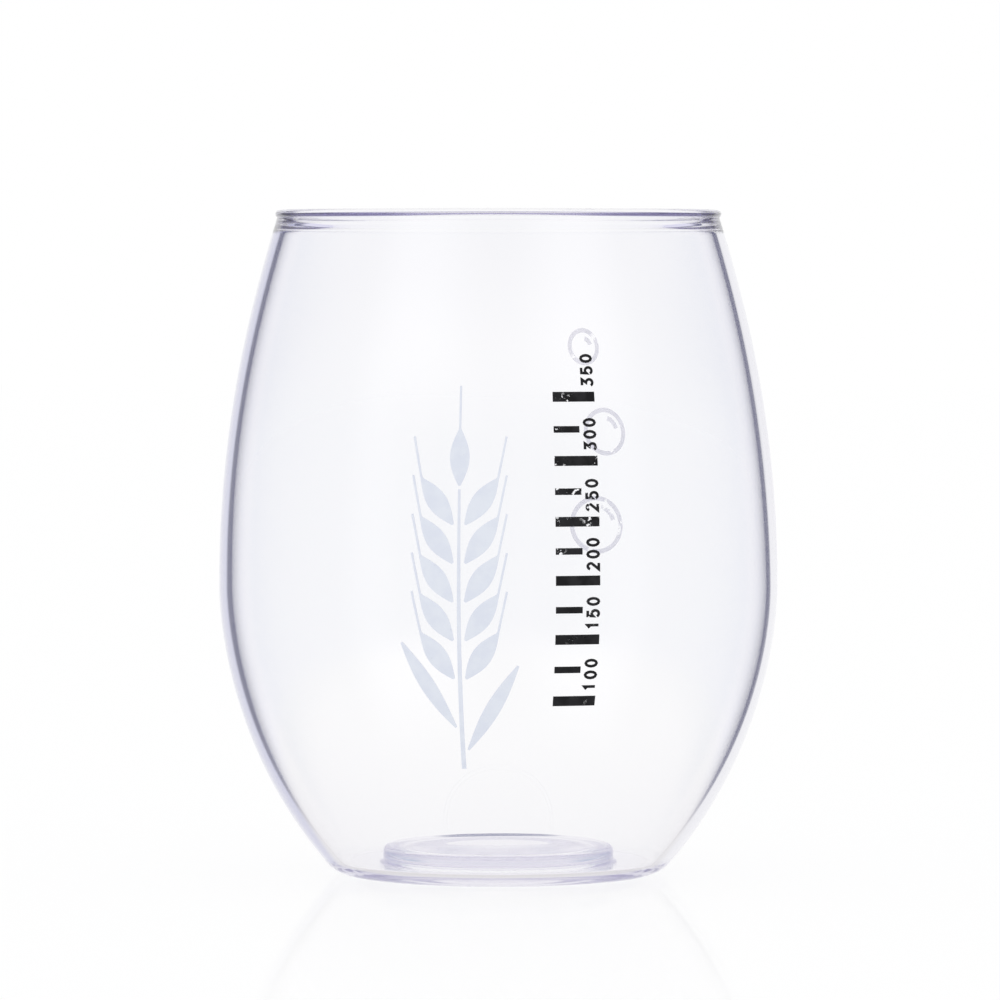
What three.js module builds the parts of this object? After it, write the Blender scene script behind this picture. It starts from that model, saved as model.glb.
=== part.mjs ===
// A stemless beer tumbler in clear plastic: one blow-moulded shell with inks printed on its outer wall.
// Millimetres, +Z up. The origin lies on the table under the middle of the base, and the front faces -Y.
import * as THREE from "three";

// Outer wall, drawn as a section. A pull is how far a curve holds its end direction, as a share of its rise.
const cupHeight = 105;
const bellyRadius = 44.2;
const bellyHeight = 45.8;
const bellyPullBelow = 0.2;
const bellyPullAbove = 0.44;
const standRadius = 23.75; // outer edge of the flat ring that stands on the table
const heelRound = 4.35;
const heelSlope = 41; // degrees that the wall leans out above the heel
const heelPull = 0.486;
const neckRadius = 35;
const neckSlope = 17; // degrees that the wall leans in under the lip
const neckPull = 0.25;

// Lip and wall thickness
const beadRound = 0.65; // the bead round the lip is a half round
const beadStep = 0.25; // how far the bead stands out past the neck
const lipThickness = 2.5;
const lipInnerRound = 2.1; // eases the inner edge of the lip
const lipInnerSlope = 42; // degrees from upright at the foot of that round
const lipBand = 1.1; // height from the brim to the foot of the upright band inside the lip
const lipLedge = 0.5; // height of the slope from that band to the neck
const wall = 1.85;
const neckWall = 2.3; // the thicker ring that the blowing leaves under the bead
const neckBand = 0.3; // height of that ring
const neckTaper = 2.6; // height over which the wall thickens to it

// Base, pushed up in the middle
const floorThickness = 2.05;
const innerHeelRound = 3;
const pushUpRadius = 18.3;
const pushUpHeight = 4.6;
const pushUpWall = 1.9;
const pushUpRound = 1;
const pushUpFoot = 0.6; // fillet where the push-up meets the floor
const recessRadius = 16.2;
const recessDraft = 6; // degrees
const recessRound = 0.8;
const gateRadius = 1.1; // stub left where the plastic entered the mould
const gateLength = 0.4;

// Facets of the shell
const turnSteps = 72;
const roundSteps = 3;
const outerSteps = 10;
const innerSteps = 18;
const fineSteps = 120; // for measuring along the wall

// Ink films. A place in the print is its distance round the belly from the front, to the right, and its
// height above the belly.
const inkGap = 0.05;
const inkThickness = 0.08;
const inkStep = 1.2; // longest facet of a film
const inkTip = 0.18; // half width of a pointed end
const inkClearance = 0.35;

// Pale ear of barley on the front
const earMiddle = -6;
const stemFoot = -26.3;
const stemWidth = 0.8;
const earFoot = -12.3;
const grainPairs = 5;
const grainLength = 8.6;
const grainWidth = 3.1;
const grainTurn = 36; // degrees from upright
const awnLength = 6.5;
const awnTurn = 12;
const leafHeights = [-19.8, -23.3]; // where the left leaf and the right leaf leave the stem
const leafReach = 8.2;
const leafRise = 13;
const leafWidth = 2.4;
const leafBowAcross = 0.4; // the leaf's bend, as shares of its reach and its rise
const leafBowUp = 0.35;

// Black fill scale beside it, with volumes in millilitres
const scaleEdge = 8.8;
const firstVolume = 100;
const lastVolume = 350;
const volumeStep = 25;
const majorVolume = 50;
const majorLength = 7;
const majorHeight = 1.5;
const minorLength = 4.2;
const minorHeight = 1;

// Faint bubbles on the back, each shifted along the wall from their middle line
const bubbleTurn = 157; // degrees round from the front
const topHeight = 37.2;
const topRadius = 2.7;
const topShift = 1.6;
const middleHeight = 23.2;
const middleRadius = 3.6;
const middleShift = -1.4;
const bottomHeight = 7.7;
const bottomRadius = 4.4;
const bottomShift = 0.8;
const bubbleLine = 0.75;
const glintInset = 1.3; // from the ring's middle line to the short arc inside it
const glintFrom = 105; // degrees, counter-clockwise from the right
const glintTo = 165;

const cubicMillimetres = 1000; // in a millilitre
const radians = THREE.MathUtils.degToRad;
const point = (radius, height) => new THREE.Vector2(radius, height);

// Section of the outer wall
const heelLean = radians(heelSlope);
const neckLean = radians(neckSlope);
const neckHeight = cupHeight - 2 * beadRound;
const heelEnd = point(Math.cos(heelLean), 1 - Math.sin(heelLean)).multiplyScalar(heelRound);
heelEnd.x += standRadius;
const belly = point(bellyRadius, bellyHeight);
const neck = point(neckRadius, neckHeight);
const lowerRise = belly.y - heelEnd.y;
const upperRise = neck.y - belly.y;
const lowerWall = new THREE.CubicBezierCurve(
  heelEnd,
  point(Math.sin(heelLean), Math.cos(heelLean)).multiplyScalar(heelPull * lowerRise).add(heelEnd),
  point(0, -bellyPullBelow * lowerRise).add(belly),
  belly,
);
const upperWall = new THREE.CubicBezierCurve(
  belly,
  point(0, bellyPullAbove * upperRise).add(belly),
  point(Math.sin(neckLean), -Math.cos(neckLean)).multiplyScalar(neckPull * upperRise).add(neck),
  neck,
);

// Fine runs of points up the outer wall and, one wall thickness in, up the inner wall
const taperFoot = neckHeight - neckBand - neckTaper;
const outerWall = [];
const innerWall = [];
for (const curve of [lowerWall, upperWall]) {
  for (let step = 0; step <= fineSteps; step += 1) {
    const place = curve.getPoint(step / fineSteps);
    const along = curve.getTangent(step / fineSteps);
    const taper = THREE.MathUtils.smoothstep(place.y, taperFoot, taperFoot + neckTaper);
    const thickness = THREE.MathUtils.lerp(wall, neckWall, taper);
    const lean = Math.atan2(along.x, along.y);
    outerWall.push({ radius: place.x, height: place.y, lean });
    innerWall.push({ radius: place.x - thickness * along.y, height: place.y + thickness * along.x, lean });
  }
}

// The wall's radius and lean at a height. Past either end the wall runs on straight.
function wallAt(run, height) {
  const above = run.findIndex((place, step) => step > 0 && place.height > height);
  const [low, high] = above > 0 ? [run[above - 1], run[above]] : run.slice(-2);
  const share = (height - low.height) / (high.height - low.height);
  return {
    radius: THREE.MathUtils.lerp(low.radius, high.radius, share),
    lean: THREE.MathUtils.lerp(low.lean, high.lean, share),
  };
}

// Points on an arc between two angles in degrees
function arc(centre, radius, from, to) {
  const points = [];
  for (let step = 0; step <= roundSteps; step += 1) {
    const angle = radians(THREE.MathUtils.lerp(from, to, step / roundSteps));
    points.push(point(centre.x + radius * Math.cos(angle), centre.y + radius * Math.sin(angle)));
  }
  return points;
}

// The inside of the wall from the lip's ledge down to the floor
const lipInnerRadius = neckRadius - lipThickness;
const bandFoot = cupHeight - lipBand;
const ledgeFoot = bandFoot - lipLedge;
const innerHeelTop = floorThickness + innerHeelRound * (1 - Math.sin(heelLean));
const innerHeelMiddle = point(
  wallAt(innerWall, innerHeelTop).radius - innerHeelRound * Math.cos(heelLean),
  floorThickness + innerHeelRound,
);
const innerSide = [point(wallAt(innerWall, ledgeFoot).radius, ledgeFoot)];
for (let step = 0; step < innerSteps; step += 1) {
  const height = THREE.MathUtils.lerp(taperFoot, innerHeelTop, step / innerSteps);
  innerSide.push(point(wallAt(innerWall, height).radius, height));
}
const innerFloor = [
  ...arc(innerHeelMiddle, innerHeelRound, -heelSlope, -90),
  ...arc(point(pushUpRadius + pushUpFoot, floorThickness + pushUpFoot), pushUpFoot, 270, 180),
  ...arc(point(pushUpRadius - pushUpRound, pushUpHeight - pushUpRound), pushUpRound, 0, 90),
  point(0, pushUpHeight),
];

// The whole section, from the gate under the base, round the outside and the lip, to the top of the push-up
function shellSection() {
  const recessTop = pushUpHeight - pushUpWall;
  const recessTopRadius = recessRadius - recessTop * Math.tan(radians(recessDraft));
  const beadMiddle = point(neckRadius + beadStep - beadRound, cupHeight - beadRound);
  const beadStart = THREE.MathUtils.radToDeg(Math.acos(1 - beadStep / beadRound));
  const lipInnerMiddle = point(
    lipInnerRadius + lipInnerRound * Math.cos(radians(lipInnerSlope)),
    cupHeight - lipInnerRound,
  );
  return [
    point(0, recessTop - gateLength),
    point(gateRadius, recessTop - gateLength),
    point(gateRadius, recessTop),
    ...arc(point(recessTopRadius - recessRound, recessTop - recessRound), recessRound, 90, 0),
    ...arc(point(recessRadius + recessRound, recessRound), recessRound, 180, 270),
    ...arc(point(standRadius, heelRound), heelRound, -90, -heelSlope),
    ...lowerWall.getPoints(outerSteps).slice(1),
    ...upperWall.getPoints(outerSteps).slice(1),
    ...arc(beadMiddle, beadRound, -beadStart, 90),
    ...arc(lipInnerMiddle, lipInnerRound, 90, 180 - lipInnerSlope),
    point(lipInnerRadius, bandFoot),
    ...innerSide,
    ...innerFloor,
  ];
}

// The filling height of a volume in millilitres: the inside section, turned, less the push-up
function fillHeight(millilitres) {
  const section = [...innerSide, ...innerFloor].reverse();
  let volume = 0;
  for (let step = 1; step < section.length; step += 1) {
    const [low, high] = [section[step - 1], section[step]];
    const slice = (Math.PI / 3) * (low.x ** 2 + low.x * high.x + high.x ** 2) * (high.y - low.y);
    const missing = millilitres * cubicMillimetres - volume;
    if (slice >= missing) {
      return THREE.MathUtils.lerp(low.y, high.y, missing / slice);
    }
    volume += slice;
  }
  return null;
}

// A place in the print, lifted off the wall
function onWall(across, rise, lift) {
  const height = bellyHeight + rise;
  const { radius, lean } = wallAt(outerWall, height);
  const turn = across / bellyRadius;
  const reach = radius + lift * Math.cos(lean);
  return [reach * Math.sin(turn), -reach * Math.cos(turn), height - lift * Math.sin(lean)];
}

// A film of ink laid on the wall: rows of places along it, each running from its left edge to its right
function inkFilm(rows, closed) {
  const columns = rows[0].length;
  const places = rows.flat();
  const layer = places.length;
  const under = places.flatMap((place) => onWall(place.x, place.y, inkGap));
  const over = places.flatMap((place) => onWall(place.x, place.y, inkGap + inkThickness));
  const index = [];
  const quad = (a, b, c, d) => index.push(a, b, c, a, c, d);
  const rowSteps = closed ? rows.length : rows.length - 1;
  for (let row = 0; row < rowSteps; row += 1) {
    const here = row * columns;
    const next = ((row + 1) % rows.length) * columns;
    for (let column = 0; column < columns - 1; column += 1) {
      const [a, b, c, d] = [here + column, here + column + 1, next + column + 1, next + column];
      quad(a, d, c, b);
      quad(a + layer, b + layer, c + layer, d + layer);
    }
    const [right, nextRight] = [here + columns - 1, next + columns - 1];
    quad(here, here + layer, next + layer, next);
    quad(right + layer, right, nextRight, nextRight + layer);
  }
  for (let column = 0; !closed && column < columns - 1; column += 1) {
    const last = (rows.length - 1) * columns + column;
    quad(column + layer, column, column + 1, column + 1 + layer);
    quad(last, last + layer, last + 1 + layer, last + 1);
  }
  const geometry = new THREE.BufferGeometry();
  geometry.setAttribute("position", new THREE.Float32BufferAttribute([...under, ...over], 3));
  geometry.setIndex(index);
  geometry.computeVertexNormals();
  return geometry;
}

// A stroke of ink along a curve in the print, with its half width from 0 to 1 along it
function inkStroke(curve, halfWidth, closed = false) {
  const steps = Math.max(2, Math.ceil(curve.getLength() / inkStep));
  const shares = Array.from({ length: closed ? steps : steps + 1 }, (_, step) => step / steps);
  const widest = 2 * Math.max(...shares.map(halfWidth));
  const columns = Math.max(1, Math.ceil(widest / inkStep));
  const rows = shares.map((share) => {
    const middle = curve.getPoint(share);
    const along = curve.getTangent(share);
    const right = point(along.y, -along.x).multiplyScalar(halfWidth(share));
    return Array.from({ length: columns + 1 }, (_, column) =>
      middle.clone().addScaledVector(right, (2 * column) / columns - 1));
  });
  return inkFilm(rows, closed);
}

const tumbler = new THREE.Group();

function addPart(name, geometry, finish) {
  const part = new THREE.Mesh(geometry, new THREE.MeshStandardMaterial(finish));
  part.name = name;
  tumbler.add(part);
}

const clearPlastic = { color: 0xe8ecf6, roughness: 0.05, metalness: 0, transparent: true, opacity: 0.35 };
const paleInk = { color: 0xe0e5ef, roughness: 0.55, metalness: 0 };
const blackInk = { color: 0x141418, roughness: 0.5, metalness: 0 };
const faintInk = { color: 0xd6d6de, roughness: 0.55, metalness: 0 };

// The moulded shell
const shell = new THREE.LatheGeometry(shellSection(), turnSteps);
shell.rotateX(Math.PI / 2);
addPart("cup_body", shell, clearPlastic);

// The ear: a stem, two leaves, and grains in pairs, each grain drawn out into its awn
const grainPitch = (grainWidth + inkClearance) / Math.sin(radians(grainTurn));
const earTop = earFoot + grainPairs * grainPitch;
const besideStem = stemWidth / 2 + inkClearance + inkTip;
const grainShare = grainLength / (grainLength + awnLength);

function grainHalfWidth(share) {
  const swell = Math.sin(Math.PI * Math.min(share / grainShare, 1));
  return inkTip + (grainWidth / 2 - inkTip) * swell;
}

function grainCurve(foot, side, turn) {
  const lean = radians(turn);
  const awnLean = radians(Math.min(turn, awnTurn));
  const tip = point(side * Math.sin(lean), Math.cos(lean)).multiplyScalar(grainLength).add(foot);
  const end = point(side * Math.sin(awnLean), Math.cos(awnLean)).multiplyScalar(awnLength).add(tip);
  const path = new THREE.CurvePath();
  path.add(new THREE.LineCurve(foot, tip));
  path.add(new THREE.LineCurve(tip, end));
  return path;
}

const stemTop = earTop - inkClearance - inkTip;
const stem = new THREE.LineCurve(point(earMiddle, stemFoot), point(earMiddle, stemTop));
addPart("barley_stem", inkStroke(stem, (share) => stemWidth / 2 - (stemWidth / 4) * share), paleInk);
addPart("barley_grain_top", inkStroke(grainCurve(point(earMiddle, earTop), 1, 0), grainHalfWidth), paleInk);
for (const [sideName, side, leafHeight] of [["left", -1, leafHeights[0]], ["right", 1, leafHeights[1]]]) {
  const leafFoot = point(earMiddle + side * besideStem, leafHeight);
  const leaf = new THREE.QuadraticBezierCurve(
    leafFoot,
    point(side * leafReach * leafBowAcross, leafRise * leafBowUp).add(leafFoot),
    point(side * leafReach, leafRise).add(leafFoot),
  );
  const leafHalfWidth = (share) => inkTip + (leafWidth / 2 - inkTip) * Math.sin(Math.PI * share);
  addPart(`barley_leaf_${sideName}`, inkStroke(leaf, leafHalfWidth), paleInk);
  for (let pair = 0; pair < grainPairs; pair += 1) {
    const foot = point(earMiddle + side * besideStem, earFoot + pair * grainPitch);
    const grain = inkStroke(grainCurve(foot, side, grainTurn), grainHalfWidth);
    addPart(`barley_grain_${sideName}_${pair + 1}`, grain, paleInk);
  }
}

// The fill scale: a bar at the filling height of each volume that reaches no higher than the neck
for (let millilitres = firstVolume; millilitres <= lastVolume; millilitres += volumeStep) {
  const height = fillHeight(millilitres);
  if (height !== null) {
    const major = millilitres % majorVolume === 0;
    const left = point(scaleEdge, height - bellyHeight);
    const right = point(major ? majorLength : minorLength, 0).add(left);
    const bar = inkStroke(new THREE.LineCurve(left, right), () => (major ? majorHeight : minorHeight) / 2);
    addPart(`scale_bar_${millilitres}`, bar, blackInk);
  }
}

// The bubbles: a ring and a short glint inside it
const bubbleMiddle = radians(bubbleTurn) * bellyRadius;
for (const [name, height, radius, shift] of [
  ["bubble_top", topHeight, topRadius, topShift],
  ["bubble_middle", middleHeight, middleRadius, middleShift],
  ["bubble_bottom", bottomHeight, bottomRadius, bottomShift],
]) {
  const across = bubbleMiddle + shift;
  const ring = new THREE.EllipseCurve(across, height, radius, radius, 0, 2 * Math.PI);
  const inner = radius - glintInset;
  const glint = new THREE.EllipseCurve(across, height, inner, inner, radians(glintFrom), radians(glintTo));
  addPart(`${name}_ring`, inkStroke(ring, () => bubbleLine / 2, true), faintInk);
  addPart(`${name}_glint`, inkStroke(glint, () => bubbleLine / 2), faintInk);
}

export default tumbler;
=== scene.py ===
# Clear stemless beer tumbler: the moulded shell, its prints, the light and the camera
import math

import bpy
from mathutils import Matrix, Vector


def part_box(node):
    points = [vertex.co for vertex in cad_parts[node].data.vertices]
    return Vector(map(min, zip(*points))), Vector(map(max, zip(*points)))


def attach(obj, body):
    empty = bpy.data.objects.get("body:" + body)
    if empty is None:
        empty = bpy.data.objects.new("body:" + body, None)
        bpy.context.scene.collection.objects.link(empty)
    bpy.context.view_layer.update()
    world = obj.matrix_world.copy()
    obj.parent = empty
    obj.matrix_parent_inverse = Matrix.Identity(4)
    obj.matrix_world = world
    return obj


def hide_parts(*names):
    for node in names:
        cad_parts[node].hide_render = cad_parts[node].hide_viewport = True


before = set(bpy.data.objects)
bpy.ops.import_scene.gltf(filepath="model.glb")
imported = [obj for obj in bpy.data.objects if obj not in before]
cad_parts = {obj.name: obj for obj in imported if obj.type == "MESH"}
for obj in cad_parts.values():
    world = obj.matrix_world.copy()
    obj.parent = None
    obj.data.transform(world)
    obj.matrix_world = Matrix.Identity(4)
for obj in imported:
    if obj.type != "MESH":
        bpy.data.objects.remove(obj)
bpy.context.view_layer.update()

mm = 0.001
scene = bpy.context.scene
scene.view_settings.view_transform = "Standard"
bounces = 256                  # clear walls lead light a long way round
scene.cycles.max_bounces = bounces
scene.cycles.glossy_bounces = bounces
scene.cycles.transmission_bounces = bounces

# the shell's section, in mm, as it is moulded
shell = {
    "height": 105.0,
    "bellyRadius": 44.2,
    "bellyHeight": 45.8,
    "bellyPullBelow": 0.2,     # pulls are shares of each curve's rise
    "bellyPullAbove": 0.44,
    "standRadius": 23.75,
    "heelRound": 4.35,
    "heelSlope": 41.0,         # degrees from upright
    "heelPull": 0.486,
    "neckRadius": 35.0,
    "neckSlope": 17.0,
    "neckPull": 0.25,
    "beadRound": 0.65,
    "beadStep": 0.25,
    "lipThickness": 2.5,
    "lipInnerRound": 2.1,
    "lipInnerSlope": 42.0,     # degrees from upright at the foot of that round
    "lipBand": 1.1,
    "lipLedge": 0.5,
    "ledgePull": 0.5,          # share of the ledge's height
    "wall": 1.85,
    "neckWall": 2.3,           # under the bead
    "neckBand": 0.3,           # height of that thicker ring
    "neckTaper": 1.8,          # height over which the wall thickens to it
    "floorThickness": 2.05,
    "innerHeelRound": 3.0,
    "pushUpRadius": 18.3,
    "pushUpHeight": 4.6,
    "pushUpWall": 1.9,
    "pushUpRound": 1.0,
    "pushUpFoot": 0.6,
    "recessRadius": 16.2,
    "recessDraft": 6.0,
    "recessRound": 0.8,
    "gateRadius": 1.1,
    "gateLength": 0.4,
    "gateRound": 0.25,         # at its tip
    "gateFillet": 0.1,         # at its foot
    "gateSteps": (4, 3),       # of these two rounds
    "sideInset": (0.3, 0.1),   # where the inner wall's run stops over the heel's round and under the ledge
    "turnSteps": 256,
    "wallSteps": 160,
    "roundSteps": 32,
    "sharpAngle": 30.0,        # degrees between faces that keep an edge
    "ripple": 0.02,            # unevenness that blowing leaves on the inner wall
    "rippleFrom": 8.0,         # none nearer to the foot or the top
    "rippleWaves": (           # waves round the cup, mm of height for one radian, start, share
        (3, 11, 0.0, 1.0),
        (5, -17, 1.3, 1.0),
        (8, 23, 0.4, 0.7),
    ),
}


def arcRun(centreR, centreZ, radius, fromDeg, toDeg, steps):
    run = []
    for i in range(steps + 1):
        a = math.radians(fromDeg + (toDeg - fromDeg) * i / steps)
        run.append((centreR + radius * math.cos(a), centreZ + radius * math.sin(a)))
    return run


def bezierRun(p0, p1, p2, p3, steps):
    run = []
    for i in range(steps + 1):
        t = i / steps
        weights = ((1 - t) ** 3, 3 * t * (1 - t) ** 2, 3 * t * t * (1 - t), t ** 3)
        run.append(tuple(sum(w * p[k] for w, p in zip(weights, (p0, p1, p2, p3))) for k in (0, 1)))
    return run


def outerRun(s, steps):
    # heel to neck, along the outside of the wall
    heel, neck = math.radians(s["heelSlope"]), math.radians(s["neckSlope"])
    heelEnd = (s["standRadius"] + s["heelRound"] * math.cos(heel), s["heelRound"] * (1 - math.sin(heel)))
    belly = (s["bellyRadius"], s["bellyHeight"])
    top = (s["neckRadius"], s["height"] - 2 * s["beadRound"])
    low, high = belly[1] - heelEnd[1], top[1] - belly[1]
    heelArm, neckArm = s["heelPull"] * low, s["neckPull"] * high
    heelPoint = (heelEnd[0] + heelArm * math.sin(heel), heelEnd[1] + heelArm * math.cos(heel))
    neckPoint = (top[0] + neckArm * math.sin(neck), top[1] - neckArm * math.cos(neck))
    lower = bezierRun(heelEnd, heelPoint, (belly[0], belly[1] - s["bellyPullBelow"] * low), belly, steps)
    upper = bezierRun(belly, (belly[0], belly[1] + s["bellyPullAbove"] * high), neckPoint, top, steps)
    return lower + upper[1:]


def runNormals(run):
    # outward normals of a run that goes up the outside
    normals = []
    for i in range(len(run)):
        a, b = run[max(i - 1, 0)], run[min(i + 1, len(run) - 1)]
        dr, dz = b[0] - a[0], b[1] - a[1]
        length = math.hypot(dr, dz)
        normals.append((dz / length, -dr / length))
    return normals


def radiusAt(run, height):
    # past its top the run goes on straight
    low, high = next((pair for pair in zip(run, run[1:]) if pair[0][1] <= height <= pair[1][1]), run[-2:])
    share = (height - low[1]) / (high[1] - low[1])
    return low[0] + (high[0] - low[0]) * share


def innerRun(s, outer):
    # one wall thickness inside the outer run, thicker towards the lip
    inner = []
    neckHeight = s["height"] - 2 * s["beadRound"]
    for (r, z), (nr, nz) in zip(outer, runNormals(outer)):
        taper = min(max((z - neckHeight + s["neckBand"] + s["neckTaper"]) / s["neckTaper"], 0), 1)
        t = s["wall"] + (s["neckWall"] - s["wall"]) * taper * taper * (3 - 2 * taper)
        inner.append((r - nr * t, z - nz * t))
    return inner


def shellSection(s):
    n = s["roundSteps"]
    outer = outerRun(s, s["wallSteps"])
    inner = innerRun(s, outer)
    recessTop = s["pushUpHeight"] - s["pushUpWall"]
    recessTopRadius = s["recessRadius"] - recessTop * math.tan(math.radians(s["recessDraft"]))
    beadMiddle = s["neckRadius"] + s["beadStep"] - s["beadRound"]
    beadStart = math.degrees(math.acos(1 - s["beadStep"] / s["beadRound"]))
    lipInner = s["neckRadius"] - s["lipThickness"]
    bandFoot = s["height"] - s["lipBand"]
    ledgeFoot = bandFoot - s["lipLedge"]
    heel = math.radians(s["heelSlope"])
    innerHeelTop = s["floorThickness"] + s["innerHeelRound"] * (1 - math.sin(heel))
    innerHeelMiddle = radiusAt(inner, innerHeelTop) - s["innerHeelRound"] * math.cos(heel)
    ledgeRadius, ledgeArm = radiusAt(inner, ledgeFoot), s["ledgePull"] * s["lipLedge"]
    gateTip, tipRound, fillet = recessTop - s["gateLength"], s["gateRound"], s["gateFillet"]
    tipSteps, filletSteps = s["gateSteps"]
    sideFoot, sideTop = innerHeelTop + s["sideInset"][0], ledgeFoot - s["sideInset"][1]

    # from the middle of the underside out and up to the lip
    gate = [(0, gateTip)] + arcRun(s["gateRadius"] - tipRound, gateTip + tipRound, tipRound, -90, 0, tipSteps)
    gate += arcRun(s["gateRadius"] + fillet, recessTop - fillet, fillet, 180, 90, filletSteps)
    edge = s["recessRound"]
    recess = arcRun(recessTopRadius - edge, recessTop - edge, edge, 90, 0, n)
    recess += arcRun(s["recessRadius"] + edge, edge, edge, 180, 270, n)
    outerHeel = arcRun(s["standRadius"], s["heelRound"], s["heelRound"], -90, -s["heelSlope"], n)
    bead = arcRun(beadMiddle, s["height"] - s["beadRound"], s["beadRound"], -beadStart, 90, n)
    lip = arcRun(lipInner + s["lipInnerRound"] * math.cos(math.radians(s["lipInnerSlope"])),
                 s["height"] - s["lipInnerRound"], s["lipInnerRound"], 90, 180 - s["lipInnerSlope"], n)

    # down the inside, to the middle of the floor
    ledge = bezierRun((lipInner, bandFoot), (lipInner, bandFoot - ledgeArm),
                      (ledgeRadius, ledgeFoot + ledgeArm), (ledgeRadius, ledgeFoot), n)
    side = [p for p in reversed(inner) if sideFoot < p[1] < sideTop]
    innerHeel = arcRun(innerHeelMiddle, s["floorThickness"] + s["innerHeelRound"], s["innerHeelRound"],
                       -s["heelSlope"], -90, n)
    pushUp = arcRun(s["pushUpRadius"] + s["pushUpFoot"], s["floorThickness"] + s["pushUpFoot"],
                    s["pushUpFoot"], 270, 180, n)
    pushUp += arcRun(s["pushUpRadius"] - s["pushUpRound"], s["pushUpHeight"] - s["pushUpRound"],
                     s["pushUpRound"], 0, 90, n)
    return {
        "outside": gate + recess + outerHeel + outer[1:] + bead + lip,
        "inside": ledge + side + innerHeel + pushUp + [(0, s["pushUpHeight"])],
    }


def ripple(s, angle, height):
    # slow unevenness of the inner wall, none at the lip and the floor
    share = (height - s["rippleFrom"]) / (s["height"] - 2 * s["rippleFrom"])
    if not 0 < share < 1:
        return 0
    waves = sum(part * math.sin(turns * angle + height / pitch + start)
                for turns, pitch, start, part in s["rippleWaves"])
    return s["ripple"] * waves * math.sin(math.pi * share)


def turnShell(s):
    parts = shellSection(s)
    section = parts["outside"] + parts["inside"]
    firstInside = len(parts["outside"])
    verts, faces, rings = [], [], []
    for k, (r, z) in enumerate(section):
        if r < 1e-6:           # on the axis
            rings.append([len(verts)])
            verts.append((0, 0, z * mm))
            continue
        ring = []
        for i in range(s["turnSteps"]):
            a = 2 * math.pi * i / s["turnSteps"]
            reach = r + (ripple(s, a, z) if k >= firstInside else 0)
            ring.append(len(verts))
            verts.append((reach * math.sin(a) * mm, -reach * math.cos(a) * mm, z * mm))
        rings.append(ring)
    for low, high in zip(rings, rings[1:]):
        count = s["turnSteps"]
        for i in range(count):
            j = (i + 1) % count
            if len(low) == 1:
                faces.append((low[0], high[j], high[i]))
            elif len(high) == 1:
                faces.append((low[i], low[j], high[0]))
            else:
                faces.append((low[i], low[j], high[j], high[i]))
    mesh = bpy.data.meshes.new("cupShell")
    mesh.from_pydata(verts, [], faces)
    mesh.validate()
    mesh.shade_smooth()
    mesh.set_sharp_from_angle(angle=math.radians(s["sharpAngle"]))
    obj = bpy.data.objects.new("cupShell", mesh)
    scene.collection.objects.link(obj)
    return obj


def nodeTools(tree):
    def plug(socket, value):
        if isinstance(value, (int, float)):
            socket.default_value = value
        elif isinstance(value, tuple):
            socket.default_value = (*value, 1)
        else:
            tree.links.new(value, socket)

    def calc(op, a, b=0):
        node = tree.nodes.new("ShaderNodeMath")
        node.operation = op
        plug(node.inputs[0], a)
        plug(node.inputs[1], b)
        return node.outputs[0]

    def ramp(value, span, toLow, toHigh):
        node = tree.nodes.new("ShaderNodeMapRange")
        node.interpolation_type = "SMOOTHSTEP"
        for name, number in zip(("From Min", "From Max", "To Min", "To Max"), (*span, toLow, toHigh)):
            node.inputs[name].default_value = number
        tree.links.new(value, node.inputs["Value"])
        return node.outputs["Result"]

    def mix(fac, a, b):
        node = tree.nodes.new("ShaderNodeMix")
        node.data_type = "RGBA"
        plug(node.inputs[0], fac)
        plug(node.inputs[6], a)    # 6, 7 and 2 are its colour sockets
        plug(node.inputs[7], b)
        return node.outputs[2]

    return calc, ramp, mix


# how often light was mirrored, and how many faces of the plastic it went through.
# A half lies between two counts
counts = {
    "mirrored": 0.5,           # once or more
    "longMirrored": 2.5,       # three times or more
    "cavity": 1.5,             # two faces or more
    "secondWall": 2.5,         # three faces or more
    "base": 4,                 # in and out twice
    "scattered": 0.5,          # by the table or an ink, once or more
}


def thrownShare(tree, path):
    # 1 for light that was reflected inside the plastic before it came out
    calc, _, _ = nodeTools(tree)
    return calc("MULTIPLY", path.outputs["Is Transmission Ray"],
                calc("GREATER_THAN", path.outputs["Glossy Depth"], counts["mirrored"]))


# clear plastic of the shell, faintly smudged
plastic = {
    "tint": (0.89, 0.882, 0.933),  # what is left of white light in thick plastic
    "density": 40.0,
    "ior": 1.57,
    "rough": (0.0, 0.03),          # clean, smudged
    "smudgeScale": 60.0,
    "smudgeDetail": 4,
    "smudgeSpan": (0.5, 0.8),      # noise levels from clean to smudged
    "pass": (0.92, 0.92, 0.94),    # soft light that one face lets through
}


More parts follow.
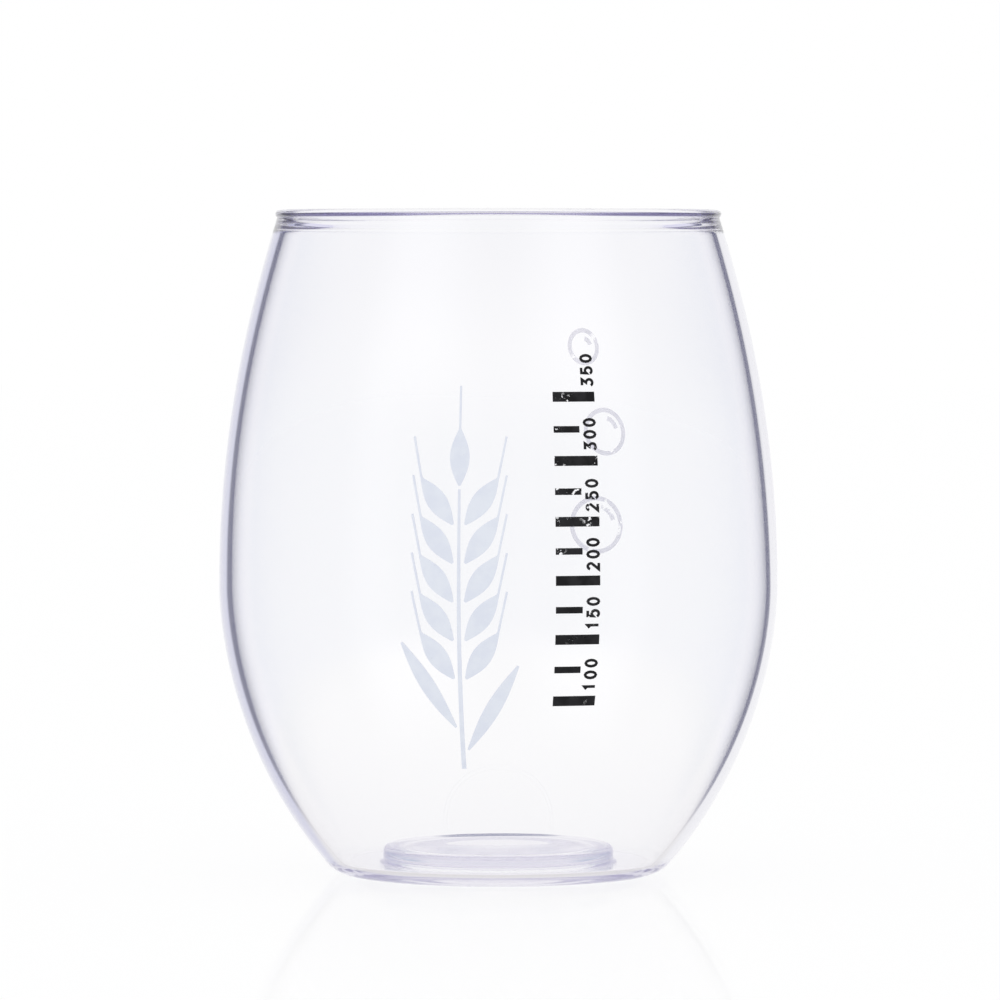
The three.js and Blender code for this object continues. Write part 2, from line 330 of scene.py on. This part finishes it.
def clearPlastic():
    mat = bpy.data.materials.new("clearPlastic")
    mat.use_nodes = True
    tree = mat.node_tree
    shader = tree.nodes["Principled BSDF"]
    shader.inputs["Base Color"].default_value = (1, 1, 1, 1)
    shader.inputs["Transmission Weight"].default_value = 1
    shader.inputs["IOR"].default_value = plastic["ior"]
    coords = tree.nodes.new("ShaderNodeTexCoord")
    smudge = tree.nodes.new("ShaderNodeTexNoise")
    smudge.inputs["Scale"].default_value = plastic["smudgeScale"]
    smudge.inputs["Detail"].default_value = plastic["smudgeDetail"]
    tree.links.new(coords.outputs["Object"], smudge.inputs["Vector"])
    spread = tree.nodes.new("ShaderNodeMapRange")
    spread.inputs["From Min"].default_value, spread.inputs["From Max"].default_value = plastic["smudgeSpan"]
    spread.inputs["To Min"].default_value, spread.inputs["To Max"].default_value = plastic["rough"]
    tree.links.new(smudge.outputs["Fac"], spread.inputs["Value"])
    tree.links.new(spread.outputs["Result"], shader.inputs["Roughness"])
    # soft light goes straight through, so that the backs of the prints and the table under the cup are lit
    calc, _, _ = nodeTools(tree)
    path = tree.nodes.new("ShaderNodeLightPath")
    clear = tree.nodes.new("ShaderNodeBsdfTransparent")
    clear.inputs["Color"].default_value = (*plastic["pass"], 1)
    blend = tree.nodes.new("ShaderNodeMixShader")
    soft = calc("MAXIMUM", path.outputs["Is Shadow Ray"], path.outputs["Is Diffuse Ray"])
    tree.links.new(soft, blend.inputs["Fac"])
    tree.links.new(shader.outputs[0], blend.inputs[1])
    tree.links.new(clear.outputs[0], blend.inputs[2])
    tree.links.new(blend.outputs[0], tree.nodes["Material Output"].inputs["Surface"])
    volume = tree.nodes.new("ShaderNodeVolumeAbsorption")
    volume.inputs["Color"].default_value = (*plastic["tint"], 1)
    volume.inputs["Density"].default_value = plastic["density"]
    tree.links.new(volume.outputs["Volume"], tree.nodes["Material Output"].inputs["Volume"])
    return mat


cup = turnShell(shell)
cup.data.materials.append(clearPlastic())
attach(cup, "root")
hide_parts("cup_body")
print("shell turned,", len(cup.data.polygons), "faces")

# printed films. A place in a print is its distance round the belly from the front, to the right,
# and its height over the belly, in mm
film = {
    "gap": 0.05,               # clear of the wall, as in the solids
    "thickness": 0.08,
    "step": 0.4,
    "tip": 0.18,               # half width of a pointed end
    "clearance": 0.35,         # between films
    "leanSpan": 1.0,           # height over which the wall's lean is taken
}
wallRun = outerRun(shell, shell["wallSteps"])


def onWall(across, rise, lift):
    height = shell["bellyHeight"] + rise
    span = film["leanSpan"]
    lean = math.atan((radiusAt(wallRun, height + span / 2) - radiusAt(wallRun, height - span / 2)) / span)
    turn, reach = across / shell["bellyRadius"], radiusAt(wallRun, height) + lift * math.cos(lean)
    top = height - lift * math.sin(lean)
    return (reach * math.sin(turn) * mm, -reach * math.cos(turn) * mm, top * mm)


def addFilm(verts, faces, rows, closed=False):
    # rows of places, each from a left edge to a right edge, become one thin closed solid
    columns, first = len(rows[0]), len(verts)
    places = [place for row in rows for place in row]
    layer = len(places)
    for lift in (film["gap"], film["gap"] + film["thickness"]):
        verts.extend(onWall(*place, lift) for place in places)
    for i in range(len(rows) if closed else len(rows) - 1):
        here, there = first + i * columns, first + (i + 1) % len(rows) * columns
        for k in range(columns - 1):
            a, b, c, d = here + k, here + k + 1, there + k + 1, there + k
            faces.append((a, d, c, b))
            faces.append((a + layer, b + layer, c + layer, d + layer))
        e, f = here + columns - 1, there + columns - 1
        faces.append((here, here + layer, there + layer, there))
        faces.append((e + layer, e, f, f + layer))
    last = first + layer - columns
    for k in range(0 if closed else columns - 1):
        faces.append((first + k + layer, first + k, first + k + 1, first + k + 1 + layer))
        faces.append((last + k, last + k + layer, last + k + 1 + layer, last + k + 1))


def evenly(path, step):
    # places evenly spaced along a bent line
    lengths = [0]
    for a, b in zip(path, path[1:]):
        lengths.append(lengths[-1] + math.dist(a, b))
    count = max(2, math.ceil(lengths[-1] / step))
    places = []
    for i in range(count + 1):
        want = lengths[-1] * i / count
        k = next(k for k in range(1, len(path)) if lengths[k] >= want - 1e-9)
        t = (want - lengths[k - 1]) / (lengths[k] - lengths[k - 1])
        places.append(tuple(path[k - 1][n] + (path[k][n] - path[k - 1][n]) * t for n in (0, 1)))
    return places


def strokeRows(path, halfWidth, closed=False):
    # a stroke's rows across its line, mitred where the line bends
    rows, last = [], len(path) - 1
    columns = max(2, math.ceil(2 * max(halfWidth(i / last) for i in range(last + 1)) / film["step"]) + 1)
    for i, (x, y) in enumerate(path):
        before = path[i - 1] if i or closed else None
        after = path[(i + 1) % len(path)] if i < last or closed else None
        ways = []
        for a, b in ((before, path[i]), (path[i], after)):
            if a and b:
                length = math.dist(a, b)
                ways.append(((b[0] - a[0]) / length, (b[1] - a[1]) / length))
        dx, dy = (sum(way[n] for way in ways) / len(ways) for n in (0, 1))
        half = halfWidth(i / last) / (dx * dx + dy * dy)
        rows.append([(x + dy * half * k, y - dx * half * k)
                     for k in (2 * c / (columns - 1) - 1 for c in range(columns))])
    return rows


def printPiece(name, verts, faces, material, nodes):
    mesh = bpy.data.meshes.new(name)
    mesh.from_pydata(verts, [], faces)
    mesh.validate()
    mesh.materials.append(material)
    obj = bpy.data.objects.new(name, mesh)
    scene.collection.objects.link(obj)
    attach(obj, "root")
    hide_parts(*nodes)
    print(name, "printed,", len(faces), "faces")


# grain that the three inks share
inkGrain = {
    "mottleDetail": 3,
    "mottleSpan": (0.35, 0.65),    # noise levels from thin to thick
    "roughFiner": 3,               # times as fine as the mottling
    "roughDetail": 2,
    "roughSpan": (0.3, 0.7),
    "patchDetail": 2,
    "speckDetail": 4,
}


def inkMaterial(name, look):
    grain = inkGrain
    mat = bpy.data.materials.new(name)
    mat.use_nodes = True
    tree = mat.node_tree
    calc, ramp, mix = nodeTools(tree)
    shader, out = tree.nodes["Principled BSDF"], tree.nodes["Material Output"]
    coords = tree.nodes.new("ShaderNodeTexCoord")

    def noise(scale, detail):
        node = tree.nodes.new("ShaderNodeTexNoise")
        node.inputs["Scale"].default_value = scale
        node.inputs["Detail"].default_value = detail
        tree.links.new(coords.outputs["Object"], node.inputs["Vector"])
        return node.outputs["Fac"]

    mottle = ramp(noise(look["mottleScale"], grain["mottleDetail"]), grain["mottleSpan"], 0, 1)
    tree.links.new(mix(mottle, look["thin"], look["thick"]), shader.inputs["Base Color"])
    fine = noise(look["mottleScale"] * grain["roughFiner"], grain["roughDetail"])
    tree.links.new(ramp(fine, grain["roughSpan"], *look["rough"]), shader.inputs["Roughness"])
    shader.inputs["Specular IOR Level"].default_value = look["specular"]
    patch = ramp(noise(look["patchScale"], grain["patchDetail"]), look["patch"], 0, 1)
    speck = ramp(noise(look["speckScale"], grain["speckDetail"]), look["speck"], 0, 1)
    worn = calc("MULTIPLY", patch, speck)
    bare = tree.nodes.new("ShaderNodeBsdfTransparent")
    blend = tree.nodes.new("ShaderNodeMixShader")
    hidden = thrownShare(tree, tree.nodes.new("ShaderNodeLightPath"))    # not mirrored in the walls
    tree.links.new(calc("MAXIMUM", hidden, calc("MAXIMUM", worn, look["sheer"])), blend.inputs["Fac"])
    tree.links.new(shader.outputs[0], blend.inputs[1])
    tree.links.new(bare.outputs[0], blend.inputs[2])
    tree.links.new(blend.outputs[0], out.inputs["Surface"])
    return mat


# pale ear of barley on the front
barley = {
    "middle": -6.0,
    "stemFoot": -26.3,
    "stemWidth": 0.8,
    "stemTaper": 0.5,          # share of the width that is gone at the top
    "earFoot": -12.3,
    "pairs": 5,
    "grainLength": 8.6,
    "grainWidth": 3.1,
    "grainTurn": 36.0,         # degrees from upright
    "awnLength": 6.5,
    "awnTurn": 12.0,
    "leaves": {"left": -19.8, "right": -23.3},   # where they leave the stem
    "leafReach": 8.2,
    "leafRise": 13.0,
    "leafWidth": 2.4,
    "leafBow": (0.4, 0.35),    # shares of the reach and the rise
    "leafSteps": 40,
}
paleLook = {
    "thin": (0.735, 0.77, 0.845),
    "thick": (0.70, 0.735, 0.825),
    "mottleScale": 420.0,
    "rough": (0.45, 0.6),
    "specular": 0.3,
    "patchScale": 90.0,
    "patch": (0.55, 0.75),
    "speckScale": 1500.0,
    "speck": (0.70, 0.74),
    "sheer": 0.0,
}


def swell(width, share):
    return film["tip"] + (width / 2 - film["tip"]) * math.sin(math.pi * min(max(share, 0), 1))


def printBarley():
    b = barley
    verts, faces, nodes = [], [], ["barley_stem", "barley_grain_top"]
    pitch = (b["grainWidth"] + film["clearance"]) / math.sin(math.radians(b["grainTurn"]))
    earTop = b["earFoot"] + b["pairs"] * pitch
    beside = b["stemWidth"] / 2 + film["clearance"] + film["tip"]
    grainShare = b["grainLength"] / (b["grainLength"] + b["awnLength"])

    def stroke(path, halfWidth):
        addFilm(verts, faces, strokeRows(evenly(path, film["step"]), halfWidth))

    def grain(foot, side, turn):
        path = [foot]
        for lean, length in ((turn, b["grainLength"]), (min(turn, b["awnTurn"]), b["awnLength"])):
            lean, (x, z) = math.radians(lean), path[-1]
            path.append((x + side * length * math.sin(lean), z + length * math.cos(lean)))
        stroke(path, lambda share: swell(b["grainWidth"], share / grainShare))

    stemTop = earTop - film["clearance"] - film["tip"]
    stroke([(b["middle"], b["stemFoot"]), (b["middle"], stemTop)],
           lambda share: b["stemWidth"] / 2 * (1 - b["stemTaper"] * share))
    grain((b["middle"], earTop), 1, 0)
    for name, side in (("left", -1), ("right", 1)):
        x, z = b["middle"] + side * beside, b["leaves"][name]
        reach, rise = side * b["leafReach"], b["leafRise"]
        bow = (x + reach * b["leafBow"][0], z + rise * b["leafBow"][1])
        tip = (x + reach, z + rise)
        # a curve with one bow point has its arms at two thirds of the way there
        arms = [tuple(end[n] + (bow[n] - end[n]) * 2 / 3 for n in (0, 1)) for end in ((x, z), tip)]
        stroke(bezierRun((x, z), *arms, tip, b["leafSteps"]), lambda share: swell(b["leafWidth"], share))
        nodes.append("barley_leaf_" + name)
        for pair in range(b["pairs"]):
            grain((x, b["earFoot"] + pair * pitch), side, b["grainTurn"])
            nodes.append("barley_grain_%s_%d" % (name, pair + 1))
    printPiece("barleyPrint", verts, faces, inkMaterial("paleInk", paleLook), nodes)


printBarley()

# black fill scale, whose numbers read upwards from the ends of the long bars
scale = {
    "edge": 8.8,
    "majorEvery": 50,
    "majorLength": 7.0,
    "majorHeight": 1.5,
    "minorLength": 4.2,
    "minorHeight": 1.0,
    "numberHeight": 2.2,
    "numberWidth": 0.62,       # share of the height
    "numberGap": 0.2,          # share of the height, between digits
    "numberOver": 0.75,        # mm over the bar
    "line": 0.19,              # stroke's width as a share of the height
    "bowlSteps": 12,           # in each round of a digit
}
blackLook = {
    "thin": (0.016, 0.016, 0.018),
    "thick": (0.006, 0.006, 0.007),
    "mottleScale": 500.0,
    "rough": (0.5, 0.65),
    "specular": 0.12,
    "patchScale": 130.0,
    "patch": (0.50, 0.60),
    "speckScale": 1700.0,
    "speck": (0.56, 0.60),
    "sheer": 0.0,
}


def digitPath(digit):
    # a digit's middle line in a box of width 1 and height 1, and whether it is a closed line
    def bowl(x, y, wide, high, fromDeg, toDeg):
        n = scale["bowlSteps"]
        turn = [math.radians(fromDeg + (toDeg - fromDeg) * i / n) for i in range(n + 1)]
        return [(x + wide * math.cos(a), y + high * math.sin(a)) for a in turn]

    paths = {
        "0": bowl(0.5, 0.5, 0.5, 0.5, 90, -270)[:-1],
        "1": [(0.1, 0.8), (0.5, 1.0), (0.5, 0.0)],
        "2": bowl(0.48, 0.72, 0.46, 0.28, 165, -20) + [(0.0, 0.0), (1.0, 0.0)],
        "3": [(0.02, 1.0), (0.95, 1.0), (0.45, 0.6)] + bowl(0.45, 0.3, 0.52, 0.3, 75, -150),
        "5": [(0.92, 1.0), (0.1, 1.0), (0.05, 0.5)] + bowl(0.45, 0.32, 0.52, 0.32, 110, -150),
    }
    return paths[digit], digit == "0"


def printScale():
    c = scale
    verts, faces, nodes = [], [], []
    half = c["line"] * c["numberHeight"] / 2
    tall = c["numberHeight"] - 2 * half
    wide = c["numberHeight"] * c["numberWidth"] - 2 * half
    for node in sorted(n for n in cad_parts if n.startswith("scale_bar_")):
        volume = int(node.rsplit("_", 1)[1])
        lowCorner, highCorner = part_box(node)
        rise = (lowCorner[2] + highCorner[2]) / 2 / mm - shell["bellyHeight"]
        major = volume % c["majorEvery"] == 0
        kind = "major" if major else "minor"
        length, height = c[kind + "Length"], c[kind + "Height"]
        path = evenly([(c["edge"], rise), (c["edge"] + length, rise)], film["step"])
        addFilm(verts, faces, strokeRows(path, lambda share: height / 2))
        nodes.append(node)
        if not major:
            continue
        foot = rise + c["majorHeight"] / 2 + c["numberOver"] + half
        for digit in str(volume):
            points, closed = digitPath(digit)
            path = [(c["edge"] + c["majorLength"] - half - y * tall, foot + x * wide) for x, y in points]
            addFilm(verts, faces, strokeRows(path, lambda share: half, closed), closed)
            foot += c["numberHeight"] * (c["numberWidth"] + c["numberGap"])
    printPiece("fillScale", verts, faces, inkMaterial("blackInk", blackLook), nodes)


printScale()

# faint bubbles on the back
bubbles = {
    "turn": 157.0,             # degrees round from the front
    "top": (37.2, 2.7, 1.6),   # height, radius, shift along the wall
    "middle": (23.2, 3.6, -1.4),
    "bottom": (7.7, 4.4, 0.8),
    "line": 0.75,
    "glintInset": 1.3,
    "glint": (105.0, 165.0),   # degrees
    "ringSteps": 72,
    "glintSteps": 12,
}
faintLook = {
    "thin": (0.86, 0.85, 0.89),
    "thick": (0.78, 0.77, 0.82),
    "mottleScale": 300.0,
    "rough": (0.5, 0.65),
    "specular": 0.2,
    "patchScale": 200.0,
    "patch": (0.4, 0.6),
    "speckScale": 900.0,
    "speck": (0.5, 0.6),
    "sheer": 0.55,
}


def printBubbles():
    u = bubbles
    verts, faces, nodes = [], [], []
    for name in ("top", "middle", "bottom"):
        height, radius, shift = u[name]
        x = math.radians(u["turn"]) * shell["bellyRadius"] + shift
        ring = arcRun(x, height, radius, 0, 360, u["ringSteps"])[:-1]
        addFilm(verts, faces, strokeRows(ring, lambda share: u["line"] / 2, True), True)
        glint = arcRun(x, height, radius - u["glintInset"], *u["glint"], u["glintSteps"])
        addFilm(verts, faces, strokeRows(glint, lambda share: u["line"] / 2))
        nodes += ["bubble_%s_ring" % name, "bubble_%s_glint" % name]
    printPiece("bubblePrint", verts, faces, inkMaterial("faintInk", faintLook), nodes)


printBubbles()

# light that has been thrown about inside the plastic shows the studio round the cup: a lit wall behind it,
# dark gaps beside that wall, and the dimmer front. Angles are degrees off the wall's middle or up from level
inner = {
    "wallLeft": (0.42, 0.43, 0.64),
    "wallRight": (0.84, 0.84, 0.88),
    "wallBlend": (-10.0, -3.0),
    "wallEnd": (24.5, 27.0),
    "gap": (0.0, 0.005, 0.12),
    "gapEnd": (31.0, 44.0),
    "front": (0.72, 0.71, 0.88),
    "table": (0.75, 0.735, 0.745),
    "tableFrom": (-24.0, -17.0),       # up, where the wall gives way to the table
    "long": (0.79, 0.78, 0.84),        # light that went a long way round inside one wall
    "deep": (0.90, 0.89, 0.93),        # light that has been through more than one wall
    "deepSide": (0.52, 0.585, 0.71),   # the same, level and from the sides
    "sideFrom": (25.0, 40.0),
    "level": (12.0, 25.0),             # up or down
    "mouth": (0.79, 0.78, 0.83),       # light from above that the inside mirrors
    "strip": (0.02, 0.04, 0.20),       # dark strip low behind the cup, that the base mirrors
    "stripFoot": (3.3, 3.4),           # up
    "stripTop": (4.06, 4.11),
    "stripEnd": (1.1, 1.9),
    "dim": 0.8,                        # softer gaps beside the camera, that draw the outline from the back
    "dimFrom": (118.0, 140.0),
    "dimTo": (150.0, 172.0),
}


def thrownLight(tree, path, x, y, rise):
    calc, ramp, mix = nodeTools(tree)
    side = calc("DEGREES", calc("ARCTAN2", x, y))
    turn = calc("ABSOLUTE", side)
    level = ramp(calc("ABSOLUTE", rise), inner["level"], 1, 0)
    lit = mix(ramp(side, inner["wallBlend"], 0, 1), inner["wallLeft"], inner["wallRight"])
    behind = calc("MULTIPLY", ramp(turn, inner["dimFrom"], 0, inner["dim"]),
                  ramp(turn, inner["dimTo"], 1, 0))
    dark = calc("MAXIMUM", ramp(turn, inner["gapEnd"], 1, 0), calc("MULTIPLY", behind, level))
    beyond = mix(dark, inner["front"], inner["gap"])
    once = mix(ramp(turn, inner["wallEnd"], 0, 1), lit, beyond)
    once = mix(ramp(rise, inner["tableFrom"], 1, 0), once, inner["table"])
    far = calc("GREATER_THAN", path.outputs["Glossy Depth"], counts["longMirrored"])
    once = mix(far, once, inner["long"])
    beside = calc("MULTIPLY", ramp(turn, inner["sideFrom"], 0, 1), level)
    deep = mix(beside, inner["deep"], inner["deepSide"])
    strip = calc("MULTIPLY", ramp(rise, inner["stripFoot"], 0, 1), ramp(rise, inner["stripTop"], 1, 0))
    strip = calc("MULTIPLY", strip, ramp(turn, inner["stripEnd"], 1, 0))
    strip = calc("MULTIPLY", strip, calc("COMPARE", path.outputs["Transmission Depth"], counts["base"]))
    deep = mix(strip, deep, inner["strip"])
    return mix(calc("GREATER_THAN", path.outputs["Transmission Depth"], counts["secondWall"]), once, deep)


# glossy white table: its mirror fades away from the cup, its shadow stays light
floor = {
    "half": 4.0,                   # m
    "drop": 0.1,                   # mm under the cup's foot
    "colour": (0.94, 0.94, 0.945),
    "shade": 0.14,                 # share of the table that takes shadow, the rest glows white
    "mirror": 0.12,
    "mirrorRough": 0.03,
    "mirrorReach": (0.03, 0.26),   # m from the cup's axis, where the mirror fades
}


def makeFloor():
    h = floor["half"]
    mesh = bpy.data.meshes.new("studioFloor")
    mesh.from_pydata([(-h, -h, 0), (h, -h, 0), (h, h, 0), (-h, h, 0)], [], [(0, 1, 2, 3)])
    obj = bpy.data.objects.new("studioFloor", mesh)
    obj.location.z = -floor["drop"] * mm
    scene.collection.objects.link(obj)
    mat = bpy.data.materials.new("glossWhiteFloor")
    mat.use_nodes = True
    tree = mat.node_tree
    tree.nodes.clear()
    _, ramp, _ = nodeTools(tree)
    new, link = tree.nodes.new, tree.links.new
    glow, matt, gloss = new("ShaderNodeEmission"), new("ShaderNodeBsdfDiffuse"), new("ShaderNodeBsdfGlossy")
    matt.inputs["Color"].default_value = (*floor["colour"], 1)
    gloss.inputs["Color"].default_value = (1, 1, 1, 1)
    gloss.inputs["Roughness"].default_value = floor["mirrorRough"]
    coords, far, path = new("ShaderNodeTexCoord"), new("ShaderNodeVectorMath"), new("ShaderNodeLightPath")
    far.operation = "LENGTH"
    link(coords.outputs["Object"], far.inputs[0])
    glow.inputs["Color"].default_value = (1, 1, 1, 1)
    table, top, surface = new("ShaderNodeMixShader"), new("ShaderNodeMixShader"), new("ShaderNodeMixShader")
    table.inputs["Fac"].default_value = floor["shade"]
    link(glow.outputs[0], table.inputs[1])
    link(matt.outputs[0], table.inputs[2])
    link(ramp(far.outputs["Value"], floor["mirrorReach"], floor["mirror"], 0), top.inputs["Fac"])
    link(table.outputs[0], top.inputs[1])
    link(gloss.outputs[0], top.inputs[2])
    link(thrownShare(tree, path), surface.inputs["Fac"])
    link(top.outputs[0], surface.inputs[1])
    link(new("ShaderNodeBsdfTransparent").outputs[0], surface.inputs[2])
    link(surface.outputs[0], new("ShaderNodeOutputMaterial").inputs["Surface"])
    mesh.materials.append(mat)
    obj.visible_glossy = False     # the cup's gloss shows the studio's lights instead


makeFloor()

# white studio, as the cup's gloss shows it: soft boxes beside the camera, dim gaps and a dim ceiling.
# Angles are degrees off the middle of the wall behind the cup or up from level
studio = {
    "dome": 1.05,                  # light on the table and the inks
    "gapFrom": (26.0, 32.0),
    "gapTo": (38.0, 58.0),
    "gapFoot": (-22.0, -13.0),     # up
    "gapLevel": 0.45,
    "boxFrom": (108.0, 136.0),
    "boxTo": (142.0, 178.0),
    "boxFoot": (-48.0, -24.0),     # up
    "boxGain": 0.75,
    "ceiling": (25.0, 60.0),       # up
    "ceilingLevel": 0.45,
    "backdrop": (0.95, 0.952, 0.965),    # its upper part, as seen through the cup
    "backdropFrom": (-1.2, 0.6),   # up
}


def makeWorld():
    world = bpy.data.worlds.new("whiteStudio")
    scene.world = world
    world.use_nodes = True
    tree = world.node_tree
    tree.nodes.clear()
    calc, ramp, mix = nodeTools(tree)
    white = (1.0, 1.0, 1.0)
    coords = tree.nodes.new("ShaderNodeTexCoord")
    split = tree.nodes.new("ShaderNodeSeparateXYZ")
    tree.links.new(coords.outputs["Generated"], split.inputs[0])
    turn = calc("DEGREES", calc("ABSOLUTE", calc("ARCTAN2", split.outputs["X"], split.outputs["Y"])))
    rise = calc("DEGREES", calc("ARCSINE", split.outputs["Z"]))
    gap = calc("MULTIPLY", ramp(turn, studio["gapFrom"], 0, 1), ramp(turn, studio["gapTo"], 1, 0))
    gap = calc("MULTIPLY", gap, ramp(rise, studio["gapFoot"], 0, 1))
    box = calc("MULTIPLY", ramp(turn, studio["boxFrom"], 0, 1), ramp(turn, studio["boxTo"], 1, 0))
    box = calc("MULTIPLY", box, ramp(rise, studio["boxFoot"], 0, studio["boxGain"]))
    mirror = calc("SUBTRACT", calc("ADD", 1, box), calc("MULTIPLY", gap, 1 - studio["gapLevel"]))
    mirror = calc("MULTIPLY", mirror, ramp(rise, studio["ceiling"], 1, studio["ceilingLevel"]))
    path = tree.nodes.new("ShaderNodeLightPath")
    soft = calc("GREATER_THAN", path.outputs["Diffuse Depth"], counts["scattered"])
    seen = calc("MAXIMUM", path.outputs["Is Glossy Ray"], path.outputs["Is Transmission Ray"])
    seen = calc("MULTIPLY", seen, calc("SUBTRACT", 1, soft))
    thrown = thrownLight(tree, path, split.outputs["X"], split.outputs["Y"], rise)
    backdrop = mix(ramp(rise, studio["backdropFrom"], 0, 1), white, studio["backdrop"])
    through = mix(thrownShare(tree, path), backdrop, thrown)
    inside = calc("GREATER_THAN", path.outputs["Transmission Depth"], counts["cavity"])
    light = mix(path.outputs["Is Transmission Ray"], mix(inside, mirror, inner["mouth"]), through)
    light = mix(seen, (studio["dome"],) * 3, light)
    light = mix(path.outputs["Is Camera Ray"], light, white)
    back = tree.nodes.new("ShaderNodeBackground")
    tree.links.new(light, back.inputs["Color"])
    out = tree.nodes.new("ShaderNodeOutputWorld")
    tree.links.new(back.outputs[0], out.inputs["Surface"])


makeWorld()

# camera, from the photograph's size and eye level, in mm
shot = {
    "aim": (0.27, 0.0, 59.1),
    "distance": 1000.0,
    "eye": 96.0,
    "lens": 227.4,
    "sensor": 36.0,
    "clip": (50.0, 60000.0),
}


def makeCamera():
    data = bpy.data.cameras.new("shot")
    obj = bpy.data.objects.new("shot", data)
    scene.collection.objects.link(obj)
    x, y, z = (v * mm for v in shot["aim"])
    obj.location = (x, y - shot["distance"] * mm, shot["eye"] * mm)
    pitch = math.atan2(shot["eye"] * mm - z, shot["distance"] * mm)
    obj.rotation_euler = (math.pi / 2 - pitch, 0, 0)
    data.lens = shot["lens"]
    data.sensor_width = shot["sensor"]
    data.clip_start, data.clip_end = (v * mm for v in shot["clip"])
    scene.camera = obj


makeCamera()
print("studio and camera set")
